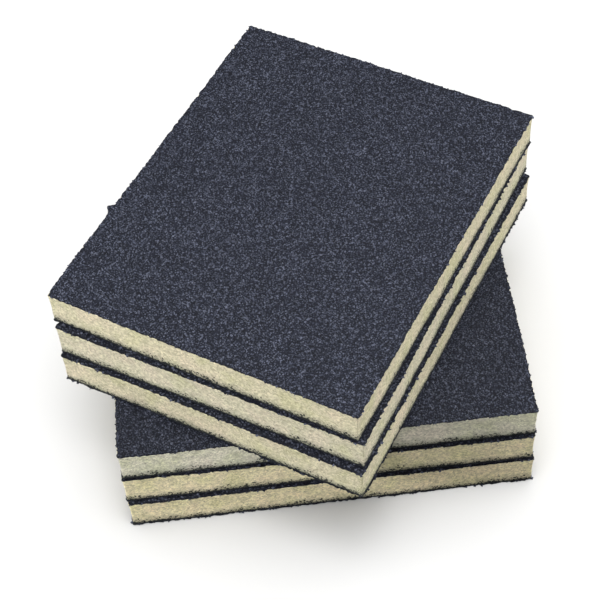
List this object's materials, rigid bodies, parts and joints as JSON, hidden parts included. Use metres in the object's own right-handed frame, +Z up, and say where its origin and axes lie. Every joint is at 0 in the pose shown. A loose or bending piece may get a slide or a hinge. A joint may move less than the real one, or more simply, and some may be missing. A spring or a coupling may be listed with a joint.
{
  "type": "sanding block",
  "caption": "Flat rectangular cream foam sanding blocks with dark abrasive grit on both broad faces, stored as two small piles laid crosswise.",
  "frame": {"origin": "middle of the underside of the whole stack, on the surface it stands on", "axes": "+Z up through the stack, +X along the long side of the bottom block, +Y along its short side"},
  "size_m": [0.149, 0.1592, 0.0726],
  "materials": {
    "abrasive_grit": "coarse matt blue-grey abrasive grain in resin, with a fine sparkle",
    "resin_bond": "dark cured resin soaked into the foam skin",
    "cream_foam": "matt open-cell foam, die-cut sides"
  },
  "bodies": {
    "block_1_base": {"block_1_lower_grit_coat": "abrasive_grit", "block_1_lower_bond_coat": "resin_bond", "block_1_foam_core": "cream_foam"},
    "block_1_face": {"block_1_upper_bond_coat": "resin_bond", "block_1_upper_grit_coat": "abrasive_grit"},
    "block_2_base": {"block_2_lower_grit_coat": "abrasive_grit", "block_2_lower_bond_coat": "resin_bond", "block_2_foam_core": "cream_foam"},
    "block_2_face": {"block_2_upper_bond_coat": "resin_bond", "block_2_upper_grit_coat": "abrasive_grit"},
    "block_3_base": {"block_3_lower_grit_coat": "abrasive_grit", "block_3_lower_bond_coat": "resin_bond", "block_3_foam_core": "cream_foam"},
    "block_3_face": {"block_3_upper_bond_coat": "resin_bond", "block_3_upper_grit_coat": "abrasive_grit"},
    "block_4_base": {"block_4_lower_grit_coat": "abrasive_grit", "block_4_lower_bond_coat": "resin_bond", "block_4_foam_core": "cream_foam"},
    "block_4_face": {"block_4_upper_bond_coat": "resin_bond", "block_4_upper_grit_coat": "abrasive_grit"},
    "block_5_base": {"block_5_lower_grit_coat": "abrasive_grit", "block_5_lower_bond_coat": "resin_bond", "block_5_foam_core": "cream_foam"},
    "block_5_face": {"block_5_upper_bond_coat": "resin_bond", "block_5_upper_grit_coat": "abrasive_grit"},
    "block_6_base": {"block_6_lower_grit_coat": "abrasive_grit", "block_6_lower_bond_coat": "resin_bond", "block_6_foam_core": "cream_foam"},
    "block_6_face": {"block_6_upper_bond_coat": "resin_bond", "block_6_upper_grit_coat": "abrasive_grit"}
  },
  "joints": [
    {"name": "block_1_press", "type": "slide", "parent": "block_1_base", "child": "block_1_face", "axis": [0, 0, 1], "range_m": [-0.004, 0], "stiffness_N_per_m": 20000, "deforming": ["block_1_foam_core"]},
    {"name": "block_2_lift", "type": "slide", "parent": "block_1_face", "child": "block_2_base", "axis": [0, 0, 1], "range_m": [0, 0.015]},
    {"name": "block_2_press", "type": "slide", "parent": "block_2_base", "child": "block_2_face", "axis": [0, 0, 1], "range_m": [-0.004, 0], "stiffness_N_per_m": 20000, "deforming": ["block_2_foam_core"]},
    {"name": "block_3_lift", "type": "slide", "parent": "block_2_face", "child": "block_3_base", "axis": [0, 0, 1], "range_m": [0, 0.015]},
    {"name": "block_3_press", "type": "slide", "parent": "block_3_base", "child": "block_3_face", "axis": [0, 0, 1], "range_m": [-0.004, 0], "stiffness_N_per_m": 20000, "deforming": ["block_3_foam_core"]},
    {"name": "block_4_lift", "type": "slide", "parent": "block_3_face", "child": "block_4_base", "axis": [0, 0, 1], "range_m": [0, 0.015]},
    {"name": "block_4_press", "type": "slide", "parent": "block_4_base", "child": "block_4_face", "axis": [0, 0, 1], "range_m": [-0.004, 0], "stiffness_N_per_m": 20000, "deforming": ["block_4_foam_core"]},
    {"name": "block_5_lift", "type": "slide", "parent": "block_4_face", "child": "block_5_base", "axis": [0, 0, 1], "range_m": [0, 0.015]},
    {"name": "block_5_press", "type": "slide", "parent": "block_5_base", "child": "block_5_face", "axis": [0, 0, 1], "range_m": [-0.004, 0], "stiffness_N_per_m": 20000, "deforming": ["block_5_foam_core"]},
    {"name": "block_6_lift", "type": "slide", "parent": "block_5_face", "child": "block_6_base", "axis": [0, 0, 1], "range_m": [0, 0.015]},
    {"name": "block_6_press", "type": "slide", "parent": "block_6_base", "child": "block_6_face", "axis": [0, 0, 1], "range_m": [-0.004, 0], "stiffness_N_per_m": 20000, "deforming": ["block_6_foam_core"]}
  ]
}
